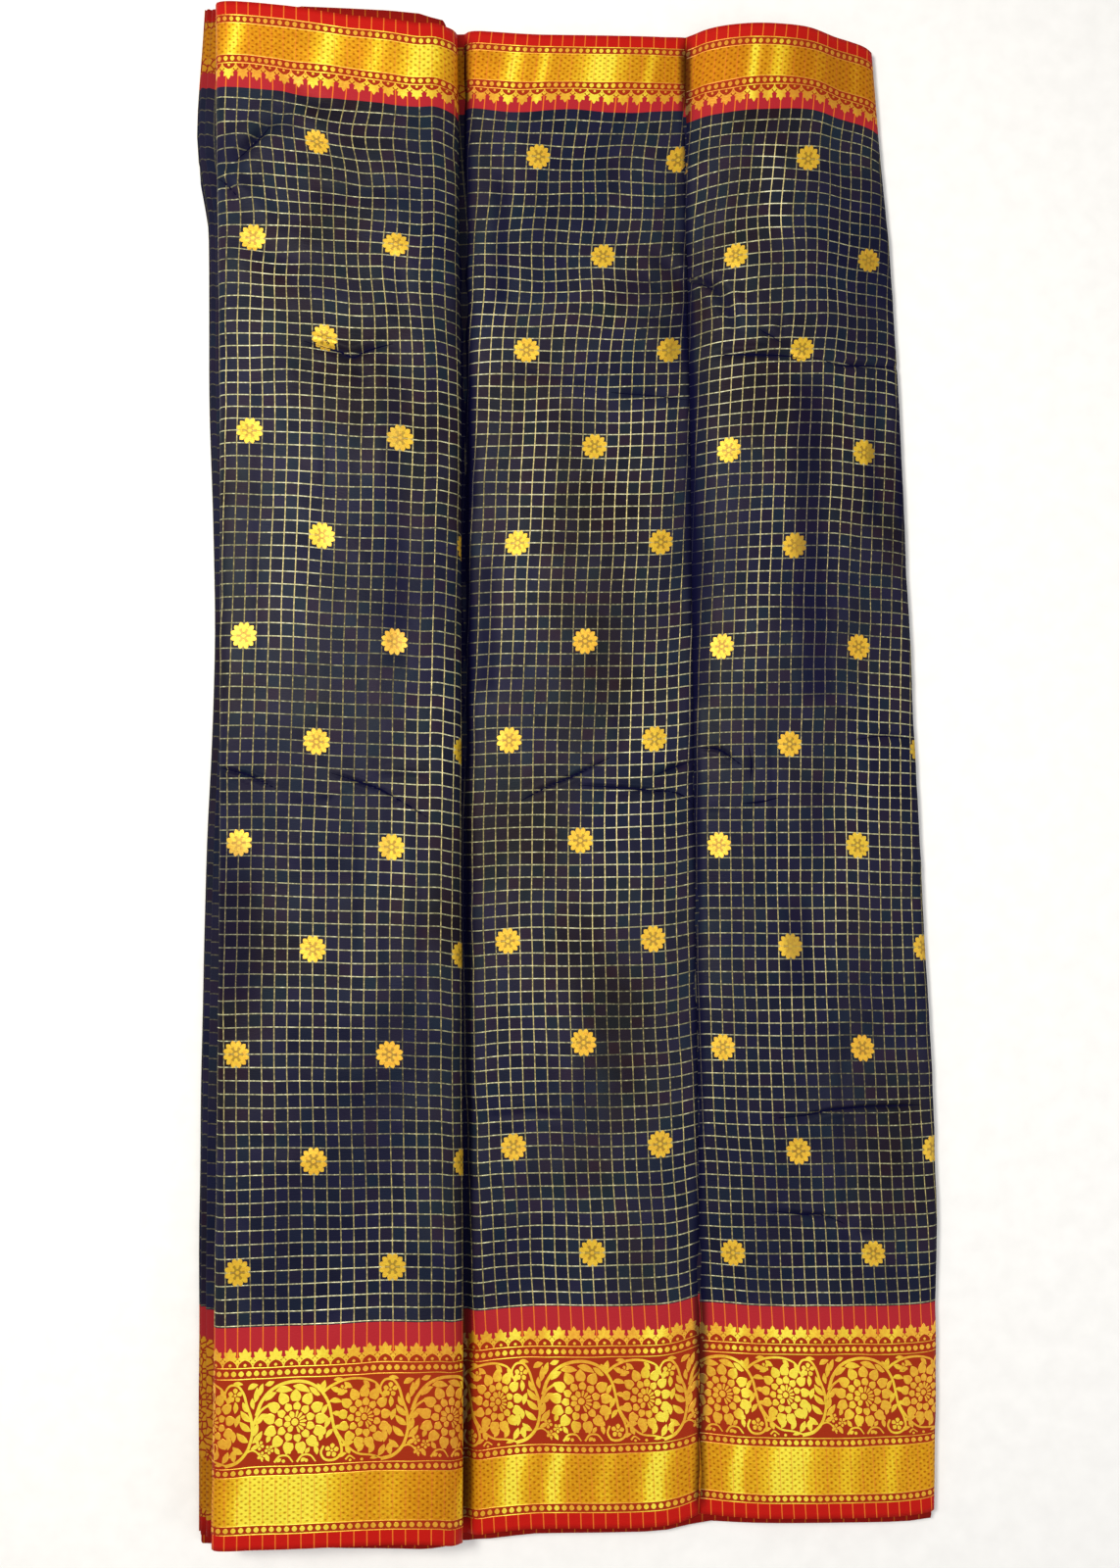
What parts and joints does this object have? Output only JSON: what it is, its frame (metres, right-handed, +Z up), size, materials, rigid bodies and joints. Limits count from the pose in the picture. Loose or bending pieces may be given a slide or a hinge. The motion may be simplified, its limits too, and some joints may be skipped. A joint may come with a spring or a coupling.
{
  "type": "folded saree",
  "caption": "Woven check saree with patterned borders, folded lengthwise into a flat pleated bundle that lies on a surface.",
  "frame": {"origin": "middle of the flat underside, on the surface that the folded cloth lies on", "axes": "+Z up, +Y along the pleats towards the narrow upper border, +X across the pleats towards the right fold"},
  "size_m": [0.576, 1.1906, 0.038],
  "materials": {
    "field": "navy silk with a fine gold check, soft sheen",
    "lower_border": "gold zari brocade on red silk, broad border",
    "upper_border": "gold zari brocade on red silk, narrow border",
    "layers": "folded edges of the same silk, navy with red and gold ends"
  },
  "bodies": {
    "root": {"left_pleat_lower_border": "lower_border", "left_pleat_field": "field", "left_pleat_upper_border": "upper_border", "centre_pleat_lower_border": "lower_border", "centre_pleat_field": "field", "centre_pleat_upper_border": "upper_border", "right_pleat_lower_border": "lower_border", "right_pleat_field": "field", "right_pleat_upper_border": "upper_border", "hidden_layers": "layers"}
  },
  "joints": []
}
